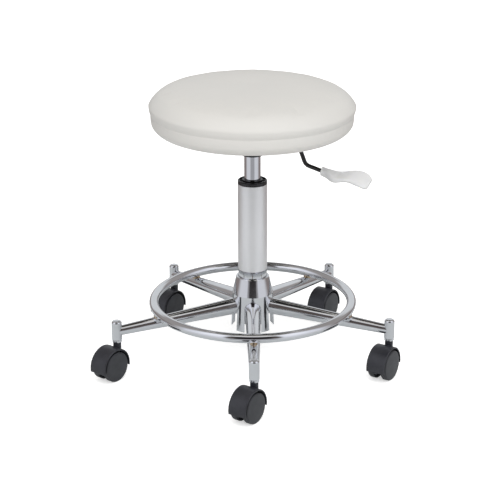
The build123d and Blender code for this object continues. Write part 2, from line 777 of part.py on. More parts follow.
def caster_body(name):
    """One moulding: hood, centre web, axle hub and the boss that turns on the stem."""
    web = axle_disc(BODY_WEB_HALF, HOOD_R - 1)
    web -= Pos(0, 0, WHEEL_R - BODY_HUB_R - 25) * Box(100, 20, 50)
    body = hood() + web
    body += axle_disc(BODY_HUB_HALF, BODY_HUB_R)
    body += Pos(TRAIL, 0, 0) * disc(BOSS_LOWER_R, BOSS_BOTTOM_Z, BOSS_STEP_Z)
    body += Pos(TRAIL, 0, 0) * disc(BOSS_UPPER_R, BOSS_STEP_Z - 1.5, BOSS_TOP_Z)
    body -= Pos(TRAIL, 0, 0) * disc(STEM_LOWER_R + RUNNING_GAP, STEM_LOWER_Z - 1.0, BOSS_TOP_Z + 1)
    body -= axle_disc(HOOD_HALF, AXLE_R)
    return caster_frame(name) * body


def caster_axle(name):
    return caster_frame(name) * axle_disc(AXLE_HALF, AXLE_R)


def caster_wheel(name, side):
    """A cup-shaped wheel, open towards the body, with a blind bore and a slightly domed face."""
    bore = AXLE_R + RUNNING_GAP
    rim_inner = WHEEL_R - WHEEL_RIM_T
    tread = Polyline(
        (WHEEL_INNER + 1.2, WHEEL_R),
        (WHEEL_INNER, WHEEL_R - 1.2),
        (WHEEL_INNER, rim_inner),
        (WHEEL_WEB, rim_inner - 0.5),
        (WHEEL_WEB, WHEEL_HUB_R),
        (WHEEL_INNER + 0.3, WHEEL_HUB_R),
        (WHEEL_INNER + 0.3, bore),
        (AXLE_HALF + 0.5, bore),
        (AXLE_HALF + 0.5, 0),
        (WHEEL_FACE, 0),
    )
    face = ThreePointArc(
        (WHEEL_FACE, 0),
        (WHEEL_FACE - 0.35, (WHEEL_R - WHEEL_CORNER) * 0.6),
        (WHEEL_EDGE + 0.6, WHEEL_R - WHEEL_CORNER),
    )
    corner = ThreePointArc(
        face @ 1,
        (WHEEL_EDGE - 0.35, WHEEL_R - 0.55),
        (WHEEL_EDGE - 2.0, WHEEL_R),
    )
    edge = Line(corner @ 1, tread @ 0)
    section = make_face([tread, face, corner, edge])
    flipped = Plane(origin=(0, 0, 0), x_dir=(0, 0, 1), z_dir=(0, -1, 0)) * section
    wheel = revolve(flipped, Axis.Z)
    wheel = Pos(0, 0, WHEEL_R) * Rot(-90 * side, 0, 0) * wheel
    return caster_frame(name) * wheel


def all_parts():
    parts = {
        "hub_shell": hub_shell(),
        "hub_sleeve": hub_sleeve(),
        "foot_ring": foot_ring(),
        "ring_welds": ring_welds(),
        "caster_stems": caster_stems(),
        "stem_grip_rings": stem_grip_rings(),
        "column_sleeve": column_sleeve(),
        "stand_tube": stand_tube(),
        "tube_floor": tube_floor(),
        "guide_bush": guide_bush(),
        "bearing_lower_race": bearing_lower_race(),
        "bearing_balls": bearing_balls(),
        "bearing_upper_race": bearing_upper_race(),
        "rubber_bumper": rubber_bumper(),
        "piston_rod": piston_rod(),
        "piston": piston(),
        "retaining_clip": retaining_clip(),
        "gas_cylinder": gas_cylinder(),
        "rod_gland": rod_gland(),
        "release_pin": release_pin(),
        "mounting_plate": mounting_plate(),
        "plate_bolts": plate_bolts(),
        "lever_rod": lever_rod(),
        "lever_pivot_pin": lever_pivot_pin(),
        "lever_grip": lever_grip(),
        "seat_cover": seat_cover(),
        "seat_foam": seat_foam(),
        "seat_board": seat_board(),
        "tee_nuts": tee_nuts(),
        "dust_cover": dust_cover(),
    }
    for name in SPOKE_ANGLES:
        parts[f"leg_{name}"] = leg(name)
        parts[f"leg_socket_{name}"] = leg_socket(name)
        parts[f"caster_body_{name}"] = caster_body(name)
        parts[f"caster_axle_{name}"] = caster_axle(name)
        parts[f"caster_wheel_{name}_left"] = caster_wheel(name, -1)
        parts[f"caster_wheel_{name}_right"] = caster_wheel(name, 1)
    return parts


os.makedirs("parts", exist_ok=True)
for node, shape in all_parts().items():
    export_step(shape, f"parts/{node}.step")
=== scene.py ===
"""Dentist stool: looks, soft parts, stage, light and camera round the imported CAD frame. Metres, +Z up."""

import json
import math

import bmesh
import bpy
from mathutils import Matrix, Vector, noise

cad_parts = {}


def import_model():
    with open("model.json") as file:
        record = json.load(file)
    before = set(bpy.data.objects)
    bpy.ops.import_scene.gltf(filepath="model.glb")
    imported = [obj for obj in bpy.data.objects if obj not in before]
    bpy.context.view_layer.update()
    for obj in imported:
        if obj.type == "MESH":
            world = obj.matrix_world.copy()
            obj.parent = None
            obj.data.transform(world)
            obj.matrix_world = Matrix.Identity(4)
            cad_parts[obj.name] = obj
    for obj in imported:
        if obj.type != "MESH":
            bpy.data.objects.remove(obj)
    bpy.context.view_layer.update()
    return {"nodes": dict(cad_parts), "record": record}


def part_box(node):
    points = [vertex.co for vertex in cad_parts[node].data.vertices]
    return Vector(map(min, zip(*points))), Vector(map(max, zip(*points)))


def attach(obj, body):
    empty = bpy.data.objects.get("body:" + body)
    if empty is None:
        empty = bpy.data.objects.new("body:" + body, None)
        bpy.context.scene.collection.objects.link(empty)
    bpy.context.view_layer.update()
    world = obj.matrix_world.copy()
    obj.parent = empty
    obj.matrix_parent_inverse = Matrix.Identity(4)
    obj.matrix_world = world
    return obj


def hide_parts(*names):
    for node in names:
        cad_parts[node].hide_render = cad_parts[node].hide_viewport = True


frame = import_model()
nodes = frame["nodes"]
scene = bpy.context.scene
MM = 0.001

# Camera: a long lens in front of the stool, a little above the seat
CAMERA_PLACE = Vector((-2.7, -2791.1, 1210.2)) * MM
CAMERA_DOWN = 19.87
CAMERA_ROLL = -0.13
CAMERA_TURN = -0.49
CAMERA_LENS = 123.66
SENSOR_WIDTH = 36.0
CLIP_END = 100.0


def box_mm(name):
    """The low and high corner of a CAD node's box, in millimetres."""
    return [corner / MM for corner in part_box(name)]


# Seat cover, in millimetres, hung on the CAD cover's box
cover_low, cover_high = box_mm("seat_cover")
WIDE_R = cover_high.x
TOP_Z = cover_high.z
BOTTOM_Z = cover_low.z
CROWN_R = 128.0
CROWN_DROP = 8.6
CROWN_MID_DROP = 2.15
WIDE_DROP = 37.0
SEAM_Z = BOTTOM_Z + 30.5
SEAM_R = WIDE_R - 2.9
SEAM_DEPTH = 0.6
BAND_TOP_R = WIDE_R - 3.1
BAND_R = WIDE_R - 4.5
BAND_END_Z = BOTTOM_Z + 13.4
UNDER_R = 141.0
HEM_R = 131.0
WRAP_R = 122.0
COVER_T = 1.2
SEGMENTS = 360

# How the cover swells: the Cloth solver's frames, pressure, furthest move in millimetres, mass and stiffness
SWELL_FRAMES = 20
SWELL_PRESSURE = 1.6
SWELL_LIMIT = 3.0
COVER_MASS = 0.4
COVER_STRETCH = 25.0
COVER_SHEAR = 12.0
COVER_BEND = 1.5

# How uneven the cushion is, in millimetres
DRIFT_SIZE = 70.0
DRIFT = 0.5
FULLER_MIDDLE = 0.7
FULLER_LEAN = 1.1
SEAM_WANDER = 0.5
GATHER = 0.45
PLEAT = 0.9

# Foam block: the gap that it leaves inside the cover
FOAM_GAP = COVER_T + 2.2
FOAM_SEGMENTS = 96

# Dust cloth, in millimetres
CLOTH_T = 0.35
CLOTH_LIFT = 0.45
CLOTH_RINGS = 44
CLOTH_SEGMENTS = 180
CLOTH_RIM = 9.0
CLOTH_SLACK_IN = 14.0
RIPPLE_SIZE = 16.0

# Wire staples round the dust cloth, in millimetres
STAPLES = 24
STAPLE_LENGTH = 10.0
STAPLE_WIRE = 0.9
STAPLE_INSET = 4.0
STAPLE_TWIST = 14.0
STAPLE_SIDES = 8

# Stage: half the floor's side, the radius of the disc that only the chrome sees, and its lift in millimetres
FLOOR_HALF = 9.0
FLOOR_GLOW = 0.5
MIRRORED_R = 0.58
MIRRORED_LIFT = 0.5

# The sun lamp: strength, direction and apparent width in degrees
SUN_STRENGTH = 1.9
SUN_AZIMUTH = 8.0
SUN_ELEVATION = 50.0
SUN_SPREAD = 60.0


# ---------------------------------------------------------------- shader helpers


def add_node(tree, kind, inputs=(), **settings):
    """A shader node with its settings; each input takes a value, or a link from another node's socket."""
    made = tree.nodes.new(kind)
    for key, value in settings.items():
        setattr(made, key, value)
    for key, value in dict(inputs).items():
        if isinstance(value, bpy.types.NodeSocket):
            tree.links.new(value, made.inputs[key])
        else:
            made.inputs[key].default_value = value
    return made


class Paint:
    """One material: a Principled BSDF and the procedural nodes that feed it."""

    def __init__(self, name, **sockets):
        self.material = bpy.data.materials.new(name)
        self.material.use_nodes = True
        self.tree = self.material.node_tree
        self.shader = self.tree.nodes["Principled BSDF"]
        self.coords = self.node("ShaderNodeTexCoord").outputs["Object"]
        for socket, value in sockets.items():
            self.set(socket.replace("_", " "), value)

    def node(self, kind, inputs=(), **settings):
        return add_node(self.tree, kind, inputs, **settings)

    def set(self, socket, value):
        """Sets one of the shader's sockets to a value, or links it."""
        if isinstance(value, bpy.types.NodeSocket):
            self.tree.links.new(value, self.shader.inputs[socket])
        elif self.shader.inputs[socket].type == "RGBA":
            self.shader.inputs[socket].default_value = (*value, 1.0)
        else:
            self.shader.inputs[socket].default_value = value

    def stretched(self, scale):
        """Object coordinates scaled per axis, so that a pattern runs along one of them."""
        mapping = self.node("ShaderNodeMapping", {"Vector": self.coords, "Scale": scale})
        return mapping.outputs["Vector"]

    def noise(self, size, detail=3.0, rough=0.55, vector=None):
        """Smooth noise with features about size metres across."""
        made = self.node(
            "ShaderNodeTexNoise",
            {"Vector": vector or self.coords, "Scale": 1.0 / size, "Detail": detail, "Roughness": rough},
        )
        return made.outputs["Fac"]

    def cells(self, size):
        """Distance from the centres of cells about size metres across."""
        made = self.node("ShaderNodeTexVoronoi", {"Vector": self.coords, "Scale": 1.0 / size}, feature="F1")
        return made.outputs["Distance"]

    def spread(self, value, low, high, start=0.0, end=1.0):
        """Maps value from start..end to low..high, clamped."""
        made = self.node(
            "ShaderNodeMapRange",
            {"Value": value, "From Min": start, "From Max": end, "To Min": low, "To Max": high},
        )
        return made.outputs["Result"]

    def mix(self, share, first, second):
        """A colour between two, by share."""
        made = self.node("ShaderNodeMix", {"Factor": share}, data_type="RGBA")
        for index, colour in ((6, first), (7, second)):
            if isinstance(colour, bpy.types.NodeSocket):
                self.tree.links.new(colour, made.inputs[index])
            else:
                made.inputs[index].default_value = (*colour, 1.0)
        return made.outputs[2]

    def bump(self, *layers):
        """Adds bump layers of (height, depth in metres), each over the one before. Returns the paint."""
        normal = None
        for height, depth in layers:
            made = self.node("ShaderNodeBump", {"Height": height, "Strength": 1.0, "Distance": depth})
            if normal:
                self.tree.links.new(normal, made.inputs["Normal"])
            normal = made.outputs["Normal"]
        self.set("Normal", normal)
        return self

    def drift(self, colour, other, size, amount):
        """Base colour that drifts slowly between two tones, over patches about size metres across."""
        patches = self.spread(self.noise(size), 0.0, amount, 0.35, 0.7)
        self.set("Base Color", self.mix(patches, colour, other))


def vinyl():
    """Off-white upholstery vinyl with a fine pebbled grain."""
    paint = Paint("vinyl", IOR=1.5, Coat_Weight=0.06, Coat_Roughness=0.35)
    paint.drift((0.70, 0.685, 0.655), (0.675, 0.665, 0.64), 0.11, 0.7)
    grain = paint.cells(0.0013)
    fine = paint.noise(0.0006, 2.0)
    paint.set("Roughness", paint.spread(paint.noise(0.02), 0.40, 0.52))
    paint.set("Sheen Weight", 0.05)
    return paint.bump((grain, 0.00010), (fine, 0.00005))


def foam():
    """Open-celled yellow foam."""
    paint = Paint("foam", Roughness=0.95)
    paint.drift((0.80, 0.70, 0.42), (0.70, 0.58, 0.30), 0.05, 0.6)
    return paint.bump((paint.cells(0.0016), 0.0006))


def plywood():
    """Long grain on the faces and thin veneers on the edge."""
    paint = Paint("plywood", Roughness=0.7)
    grain = paint.noise(0.004, 4.0, 0.6, paint.stretched((0.06, 1.0, 1.0)))
    waves = {"Vector": paint.coords, "Scale": 210.0, "Distortion": 0.6}
    veneer = paint.node("ShaderNodeTexWave", waves, bands_direction="Z")
    tone = paint.mix(paint.spread(grain, 0.0, 1.0, 0.3, 0.7), (0.55, 0.37, 0.20), (0.74, 0.57, 0.36))
    layers = paint.spread(veneer.outputs["Fac"], 0.0, 0.35)
    paint.set("Base Color", paint.mix(layers, tone, (0.36, 0.22, 0.11)))
    return paint.bump((grain, 0.0002))


def chrome():
    """Bright plating with faint smudges and a slightly uneven tube under it."""
    paint = Paint("chrome", Metallic=1.0)
    paint.drift((0.80, 0.81, 0.83), (0.74, 0.745, 0.76), 0.05, 0.8)
    smudge = paint.noise(0.018, 4.0, 0.7)
    paint.set("Roughness", paint.spread(smudge, 0.035, 0.11, 0.35, 0.75))
    return paint.bump((paint.noise(0.03, 1.0), 0.00012), (paint.noise(0.0015, 2.0), 0.000004))


def satin_column():
    """Silver satin anodising: half mirror, half matt."""
    paint = Paint("satin_column", Metallic=0.6)
    paint.drift((0.86, 0.865, 0.87), (0.83, 0.835, 0.84), 0.04, 0.8)
    brushed = paint.noise(0.0008, 2.0, 0.5, paint.stretched((1.0, 1.0, 0.04)))
    paint.set("Roughness", paint.spread(brushed, 0.32, 0.40))
    return paint.bump((brushed, 0.00001), (paint.noise(0.0005, 2.0), 0.000008))


def bare_steel():
    """Turned steel: fine tool marks round the axis."""
    paint = Paint("bare_steel", Metallic=1.0)
    paint.drift((0.58, 0.58, 0.59), (0.47, 0.46, 0.45), 0.012, 0.8)
    turned = paint.noise(0.0006, 2.0, 0.6, paint.stretched((0.15, 0.15, 1.0)))
    paint.set("Roughness", paint.spread(turned, 0.22, 0.38))
    return paint.bump((turned, 0.00002))


def weld():
    """Plated weld beads: rippled, with heat-tinted patches."""
    paint = Paint("weld", Metallic=1.0)
    heat = paint.spread(paint.noise(0.006), 0.0, 1.0, 0.35, 0.65)
    paint.set("Base Color", paint.mix(heat, (0.62, 0.52, 0.38), (0.42, 0.30, 0.20)))
    paint.set("Roughness", paint.spread(paint.noise(0.004), 0.14, 0.3))
    ripple = paint.cells(0.0022)
    return paint.bump((ripple, 0.0005), (paint.noise(0.0012), 0.0001))


def black_plastic():
    """Smooth moulded black plastic."""
    paint = Paint("black_plastic", IOR=1.5)
    paint.drift((0.012, 0.012, 0.013), (0.02, 0.02, 0.021), 0.01, 0.8)
    paint.set("Roughness", paint.spread(paint.noise(0.006), 0.2, 0.3))
    return paint.bump((paint.noise(0.0004, 2.0), 0.000015))


def rubber():
    """Matt black rubber."""
    paint = Paint("rubber", IOR=1.5)
    paint.drift((0.03, 0.03, 0.03), (0.055, 0.053, 0.05), 0.008, 0.8)
    paint.set("Roughness", paint.spread(paint.noise(0.005), 0.6, 0.8))
    return paint.bump((paint.noise(0.0006, 3.0), 0.00006))


def black_paint():
    """Powder coat: orange peel under a soft shine."""
    paint = Paint("black_paint", IOR=1.5)
    paint.drift((0.012, 0.011, 0.011), (0.022, 0.021, 0.02), 0.03, 0.8)
    paint.set("Roughness", paint.spread(paint.noise(0.01), 0.26, 0.36))
    return paint.bump((paint.noise(0.0018, 2.0), 0.00004), (paint.noise(0.0005, 2.0), 0.00001))


def zinc():
    """Zinc plating with a soft spangle."""
    paint = Paint("zinc", Metallic=1.0)
    spangle = paint.cells(0.003)
    tone = paint.spread(spangle, 0.0, 1.0)
    paint.set("Base Color", paint.mix(tone, (0.66, 0.66, 0.62), (0.52, 0.53, 0.52)))
    paint.set("Roughness", paint.spread(paint.noise(0.003), 0.25, 0.4))
    return paint.bump((paint.noise(0.001), 0.00002))


def dust_cloth():
    """Spunbond cloth: matted fibres pressed in a grid of small points."""
    paint = Paint("dust_cloth", Roughness=0.9)
    fibres = paint.noise(0.0007, 4.0, 0.7)
    points = paint.cells(0.0019)
    matting = paint.spread(fibres, 0.0, 1.0, 0.3, 0.7)
    paint.set("Base Color", paint.mix(matting, (0.018, 0.018, 0.018), (0.05, 0.05, 0.05)))
    paint.set("Sheen Weight", 0.2)
    return paint.bump((points, 0.00015), (fibres, 0.0001))


def grip_plastic():
    """Milky soft plastic that lets a little light through."""
    paint = Paint("grip_plastic", IOR=1.45, Transmission_Weight=0.15, Subsurface_Weight=0.45)
    paint.set("Subsurface Radius", (0.010, 0.010, 0.011))
    paint.set("Subsurface Scale", 0.6)
    paint.drift((0.80, 0.80, 0.80), (0.765, 0.765, 0.77), 0.02, 0.8)
    paint.set("Roughness", paint.spread(paint.noise(0.01), 0.30, 0.42))
    return paint.bump((paint.noise(0.0009, 2.0), 0.00002))


def caster_plastic():
    """The casters' hoods: satin moulded nylon, a shade lighter and bluer than plain black."""
    paint = Paint("caster_plastic", IOR=1.5, Coat_Weight=0.15, Coat_Roughness=0.25)
    paint.drift((0.017, 0.0175, 0.023), (0.028, 0.0285, 0.035), 0.02, 0.8)
    paint.set("Roughness", paint.spread(paint.noise(0.008), 0.36, 0.48))
    return paint.bump((paint.noise(0.0007, 3.0), 0.00004))


def wheel_plastic():
    """The wheels: the same nylon, scuffed."""
    paint = Paint("wheel_plastic", IOR=1.5, Coat_Weight=0.2, Coat_Roughness=0.22)
    paint.drift((0.020, 0.021, 0.025), (0.031, 0.032, 0.037), 0.014, 0.8)
    scuffs = paint.noise(0.0012, 5.0, 0.7)
    paint.set("Roughness", paint.spread(scuffs, 0.34, 0.48))
    return paint.bump((paint.noise(0.0009, 3.0), 0.00005))


MAKERS = (
    vinyl,
    foam,
    plywood,
    chrome,
    satin_column,
    bare_steel,
    weld,
    black_plastic,
    rubber,
    black_paint,
    zinc,
    dust_cloth,
    grip_plastic,
    caster_plastic,
    wheel_plastic,
)
finishes = {maker.__name__: maker().material for maker in MAKERS}


def paint_cad():
    """Every CAD node takes the finish that its slot in the record names."""
    for part in frame["record"]["subparts"]:
        node = nodes[part["node"]]
        for slot in node.material_slots:
            slot.material = finishes[part["material_slot"]]


# ---------------------------------------------------------------- mesh helpers


def polar(vertex):
    """A vertex's x, y, height and distance from the axis in millimetres, and its angle round the axis."""
    x, y, z = vertex.co / MM
    return x, y, z, math.hypot(x, y), math.atan2(y, x)


def clamped(value):
    """The value, held between 0 and 1."""
    return min(1.0, max(0.0, value))


def bell(distance, width):
    """1 at no distance, and fading to nothing past about twice the width."""
    return math.exp(-((distance / width) ** 2))


def arc(first, middle, last, steps):
    """Points on the circle through three points of a section, first to last, the short way round."""
    (ax, ay), (bx, by), (cx, cy) = first, middle, last
    twice = 2 * (ax * (by - cy) + bx * (cy - ay) + cx * (ay - by))
    a2, b2, c2 = ax * ax + ay * ay, bx * bx + by * by, cx * cx + cy * cy
    centre_x = (a2 * (by - cy) + b2 * (cy - ay) + c2 * (ay - by)) / twice
    centre_y = (a2 * (cx - bx) + b2 * (ax - cx) + c2 * (bx - ax)) / twice
    radius = math.hypot(ax - centre_x, ay - centre_y)
    start = math.atan2(ay - centre_y, ax - centre_x)
    sweep = (math.atan2(cy - centre_y, cx - centre_x) - start + math.pi) % (2 * math.pi) - math.pi
    angles = [start + sweep * step / steps for step in range(steps + 1)]
    return [(centre_x + radius * math.cos(a), centre_y + radius * math.sin(a)) for a in angles]


def joined(*runs):
    """One outline from runs that share their end points."""
    outline = list(runs[0])
    for run in runs[1:]:
        outline += run[1:]
    return outline


def lathe(outline, segments):
    """A mesh turned about Z from an outline of (radius, height) in millimetres."""
    mesh = bmesh.new()
    rings = []
    for radius, height in outline:
        if radius < 1e-6:
            rings.append([mesh.verts.new((0, 0, height * MM))])
            continue
        ring = []
        for index in range(segments):
            angle = 2 * math.pi * index / segments
            place = (radius * math.cos(angle) * MM, radius * math.sin(angle) * MM, height * MM)
            ring.append(mesh.verts.new(place))
        rings.append(ring)
    for upper, lower in zip(rings, rings[1:]):
        for index in range(segments):
            after = (index + 1) % segments
            if len(upper) == 1:
                mesh.faces.new((upper[0], lower[index], lower[after]))
            elif len(lower) == 1:
                mesh.faces.new((upper[index], lower[0], upper[after]))
            else:
                mesh.faces.new((upper[index], lower[index], lower[after], upper[after]))
    return mesh


def finished(mesh, name, finish):
    """Turns a bmesh into a smooth-shaded object with that finish."""
    data = bpy.data.meshes.new(name)
    bmesh.ops.recalc_face_normals(mesh, faces=mesh.faces)
    mesh.to_mesh(data)
    mesh.free()
    data.materials.append(finishes[finish])
    data.polygons.foreach_set("use_smooth", [True] * len(data.polygons))
    piece = bpy.data.objects.new(name, data)
    scene.collection.objects.link(piece)
    return piece


def apply_modifiers(piece):
    """Replaces a piece's mesh by what its modifiers make of it."""
    depsgraph = bpy.context.evaluated_depsgraph_get()
    baked = bpy.data.meshes.new_from_object(piece.evaluated_get(depsgraph))
    piece.modifiers.clear()
    old = piece.data
    piece.data = baked
    bpy.data.meshes.remove(old)


def thicken(piece, thickness, offset):
    """Turns a surface into a skin of that thickness in millimetres."""
    shell = piece.modifiers.new("thickness", "SOLIDIFY")
    shell.thickness = thickness * MM
    shell.offset = offset
    apply_modifiers(piece)


# ---------------------------------------------------------------- seat


def cover_outline():
    """The cover's half section, from the middle of the top, over the seam, to its hem under the board."""
    crown = (CROWN_R, TOP_Z - CROWN_DROP)
    top = arc((0.0, TOP_Z), (CROWN_R / 2, TOP_Z - CROWN_MID_DROP), crown, 26)
    shoulder = arc(crown, (WIDE_R - 15.4, TOP_Z - 19.6), (WIDE_R, TOP_Z - WIDE_DROP), 20)
    tuck = arc(shoulder[-1], (WIDE_R - 0.7, SEAM_Z + 6.5), (WIDE_R - 2.6, SEAM_Z + 1.5), 6)
    groove = [tuck[-1], (SEAM_R - SEAM_DEPTH, SEAM_Z), (BAND_TOP_R, SEAM_Z - 1.5)]
    band = arc(groove[-1], (BAND_TOP_R, SEAM_Z - 8.0), (BAND_R, BAND_END_Z), 8)
    under = arc(band[-1], (WIDE_R - 12.5, BOTTOM_Z + 4.2), (UNDER_R, BOTTOM_Z), 12)
    hem = [under[-1], (HEM_R, BOTTOM_Z), (WRAP_R, BOTTOM_Z)]
    return joined(top, shoulder, tuck, groove, band, under, hem)


def swell(piece):
    """Inflates the sewn cover with the Cloth solver: the seam and the hem hold, the panels swell between."""
    rest = [vertex.co.copy() for vertex in piece.data.vertices]
    held = piece.vertex_groups.new(name="held")
    for vertex in piece.data.vertices:
        _, _, z, radius, _ = polar(vertex)
        on_seam = abs(z - SEAM_Z) < 0.7 and radius > BAND_R - 10
        if on_seam or z < BOTTOM_Z + 6.0:
            held.add([vertex.index], 1.0, "REPLACE")
    cloth = piece.modifiers.new("cloth", "CLOTH")
    settings = cloth.settings
    settings.quality = 6
    settings.mass = COVER_MASS
    settings.tension_stiffness = COVER_STRETCH
    settings.compression_stiffness = COVER_STRETCH
    settings.shear_stiffness = COVER_SHEAR
    settings.bending_stiffness = COVER_BEND
    settings.use_pressure = True
    settings.uniform_pressure_force = SWELL_PRESSURE
    settings.vertex_group_mass = held.name
    settings.effector_weights.gravity = 0.0
    cloth.point_cache.frame_start = 1
    cloth.point_cache.frame_end = SWELL_FRAMES
    for step in range(1, SWELL_FRAMES + 1):
        scene.frame_set(step)
    apply_modifiers(piece)
    scene.frame_set(1)
    limit = SWELL_LIMIT * MM
    for vertex, start in zip(piece.data.vertices, rest):
        move = vertex.co - start
        if move.length > limit:
            vertex.co = start + move.normalized() * limit
    piece.vertex_groups.clear()


def settle(mesh):
    """Makes the turned cover slightly uneven: slow waves, a fuller left side and a seam that wanders."""
    for vertex in mesh.verts:
        x, y, z, radius, angle = polar(vertex)
        slow = noise.noise(Vector((x, y, z)) / DRIFT_SIZE) * DRIFT
        fuller = FULLER_MIDDLE - FULLER_LEAN * x / WIDE_R
        above_hem = clamped((z - BOTTOM_Z - 8.0) / 20.0)
        share = 1.0 if z > SEAM_Z + 6 else 0.3
        vertex.co.z += (slow + fuller) * MM * above_hem * share
        near_seam = bell(z - SEAM_Z, 5.0) if radius > BAND_R - 12 else 0.0
        pull = noise.noise(Vector((math.cos(angle), math.sin(angle), 0.3)) * 9.0) * SEAM_WANDER
        vertex.co.z += pull * near_seam * MM


def pucker(piece):
    """Fine gathers that the stitching pulls into both panels beside the seam, and pleats under the board."""
    for vertex in piece.data.vertices:
        _, _, z, radius, angle = polar(vertex)
        if radius < WRAP_R - 1.0 or z > SEAM_Z + 25:
            continue
        ring = Vector((math.cos(angle), math.sin(angle), 0.0))
        beside_seam = bell(z - SEAM_Z, 6.0) * min(1.0, abs(z - SEAM_Z) / 2.0)
        wave = noise.noise(ring * 26.0 + Vector((0, 0, z * 0.05)))
        vertex.co += ring * wave * beside_seam * GATHER * MM
        if z < BOTTOM_Z + 3.0:
            pleat = abs(noise.noise(ring * 20.0)) * min(1.0, (160.0 - radius) / 20.0)
            vertex.co.z += max(0.0, pleat) * PLEAT * MM


def seat_cushion():
    """The sewn cover over its foam: crowned top panel, side band, seam groove and a hem under the board."""
    mesh = lathe(cover_outline(), SEGMENTS)
    settle(mesh)
    piece = finished(mesh, "seat_cushion", "vinyl")
    swell(piece)
    pucker(piece)
    thicken(piece, COVER_T, -1.0)
    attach(piece, "seat")
    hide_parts("seat_cover")


def seat_foam():
    """The foam block: the cover's own outline pulled in, with a pocket for the board."""
    board_low, board_high = box_mm("seat_board")
    middle = (TOP_Z + BOTTOM_Z) / 2
    outer = []
    for radius, height in cover_outline():
        if height < board_high.z - 8.0 and radius < board_high.x + 6.0:
            break
        from_middle = (height - middle) / (TOP_Z - BOTTOM_Z) * 2
        inside = max(0.0, radius - FOAM_GAP * min(1.0, radius / 150.0))
        outer.append((inside, height - FOAM_GAP * from_middle))
    roof = board_high.z + 0.2
    pocket = [
        (board_high.x + 1.0, board_low.z + 2.0),
        (board_high.x + 0.3, roof),
        (board_high.x * 0.5, roof),
        (0.0, roof),
    ]
    piece = finished(lathe(outer + pocket, FOAM_SEGMENTS), "seat_foam_block", "foam")
    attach(piece, "seat")
    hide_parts("seat_foam")


def dust_cover():
    """Thin black cloth over the underside: flat under the plate, slightly slack outside it."""
    low, high = box_mm("dust_cover")
    radius_out = high.x
    outline = [(radius_out * ring / CLOTH_RINGS, low.z + CLOTH_LIFT) for ring in range(CLOTH_RINGS + 1)]
    mesh = lathe(outline, CLOTH_SEGMENTS)
    plate_half = box_mm("mounting_plate")[1].x
    for vertex in mesh.verts:
        x, y, _, radius, angle = polar(vertex)
        slack = clamped((max(abs(x), abs(y)) - plate_half) / CLOTH_SLACK_IN)
        rim = max(0.0, 1.0 - (radius_out - radius) / CLOTH_RIM)
        ripple = noise.noise(Vector((x, y, 0.0)) / RIPPLE_SIZE) * 0.9 - 0.5
        scallop = 0.5 - 0.5 * math.cos(angle * STAPLES)
        vertex.co.z += slack * ripple * (1.0 - rim) * MM
        vertex.co -= Vector((x, y, 0.0)).normalized() * rim * scallop * 0.9 * MM
    piece = finished(mesh, "dust_cloth", "dust_cloth")
    thicken(piece, CLOTH_T, 0.0)
    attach(piece, "seat")
    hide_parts("dust_cover")


def cover_staples():
    """The ring of wire staples that holds the cloth: each is a crown with rounded shoulders."""
    low, high = box_mm("dust_cover")
    half = STAPLE_LENGTH / 2
    # (along the staple, up from the cloth)
    path = [(-half, 0.5), (-half, -0.25), (0.5 - half, -0.65)]
    path += [(half - 0.5, -0.65), (half, -0.25), (half, 0.5)]
    mesh = bmesh.new()
    for index in range(STAPLES):
        rings = []
        for along, height in path:
            ring = []
            for corner in range(STAPLE_SIDES):
                turn = 2 * math.pi * corner / STAPLE_SIDES
                across = math.cos(turn) * STAPLE_WIRE / 2
                lift = math.sin(turn) * STAPLE_WIRE / 4
                ring.append(mesh.verts.new(Vector((across, along, height + lift)) * MM))
            rings.append(ring)
        for first, second in zip(rings, rings[1:]):
            for corner in range(STAPLE_SIDES):
                after = (corner + 1) % STAPLE_SIDES
                mesh.faces.new((first[corner], second[corner], second[after], first[after]))
        mesh.faces.new(rings[0])
        mesh.faces.new(rings[-1])
        made = [vertex for ring in rings for vertex in ring]
        around = Matrix.Rotation(2 * math.pi * index / STAPLES, 4, "Z")
        out = Matrix.Translation(((high.x - STAPLE_INSET) * MM, 0, low.z * MM))
        twist = math.radians(noise.noise(Vector((index * 1.7, 0.2, 0.0))) * STAPLE_TWIST)
        bmesh.ops.transform(mesh, matrix=around @ out @ Matrix.Rotation(twist, 4, "Z"), verts=made)
    piece = finished(mesh, "cover_staples", "zinc")
    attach(piece, "seat")


# ---------------------------------------------------------------- stage, light and camera


def flat_piece(name, mesh, colour, other):
    """A level stage piece in a slightly uneven pale paint."""
    data = bpy.data.meshes.new(name)
    mesh.to_mesh(data)
    mesh.free()
    piece = bpy.data.objects.new(name, data)
    scene.collection.objects.link(piece)
    paint = Paint(name, Roughness=0.9)
    paint.drift(colour, other, 0.8, 0.6)
    data.materials.append(paint.material)
    return piece, paint


def floor():
    """The pale floor. Only the camera sees its glow, and the chrome doesn't mirror this floor."""
    mesh = bmesh.new()
    bmesh.ops.create_grid(mesh, x_segments=8, y_segments=8, size=FLOOR_HALF)
    piece, paint = flat_piece("floor", mesh, (0.93, 0.93, 0.93), (0.915, 0.915, 0.915))
    seen = paint.node("ShaderNodeLightPath").outputs["Is Camera Ray"]
    paint.set("Emission Color", (1.0, 1.0, 1.0))
    paint.set("Emission Strength", paint.spread(seen, 0.0, FLOOR_GLOW))
    piece.visible_glossy = False


def mirrored_floor():
    """The floor close to the stool, as only mirror reflections see it."""
    mesh = bmesh.new()
    bmesh.ops.create_circle(mesh, cap_ends=True, segments=96, radius=MIRRORED_R)
    bmesh.ops.translate(mesh, verts=mesh.verts, vec=(0, 0, MIRRORED_LIFT * MM))
    piece, _ = flat_piece("floor_mirrored", mesh, (0.61, 0.635, 0.655), (0.59, 0.615, 0.635))
    piece.visible_camera = False
    piece.visible_diffuse = False
    piece.visible_transmission = False
    piece.visible_shadow = False


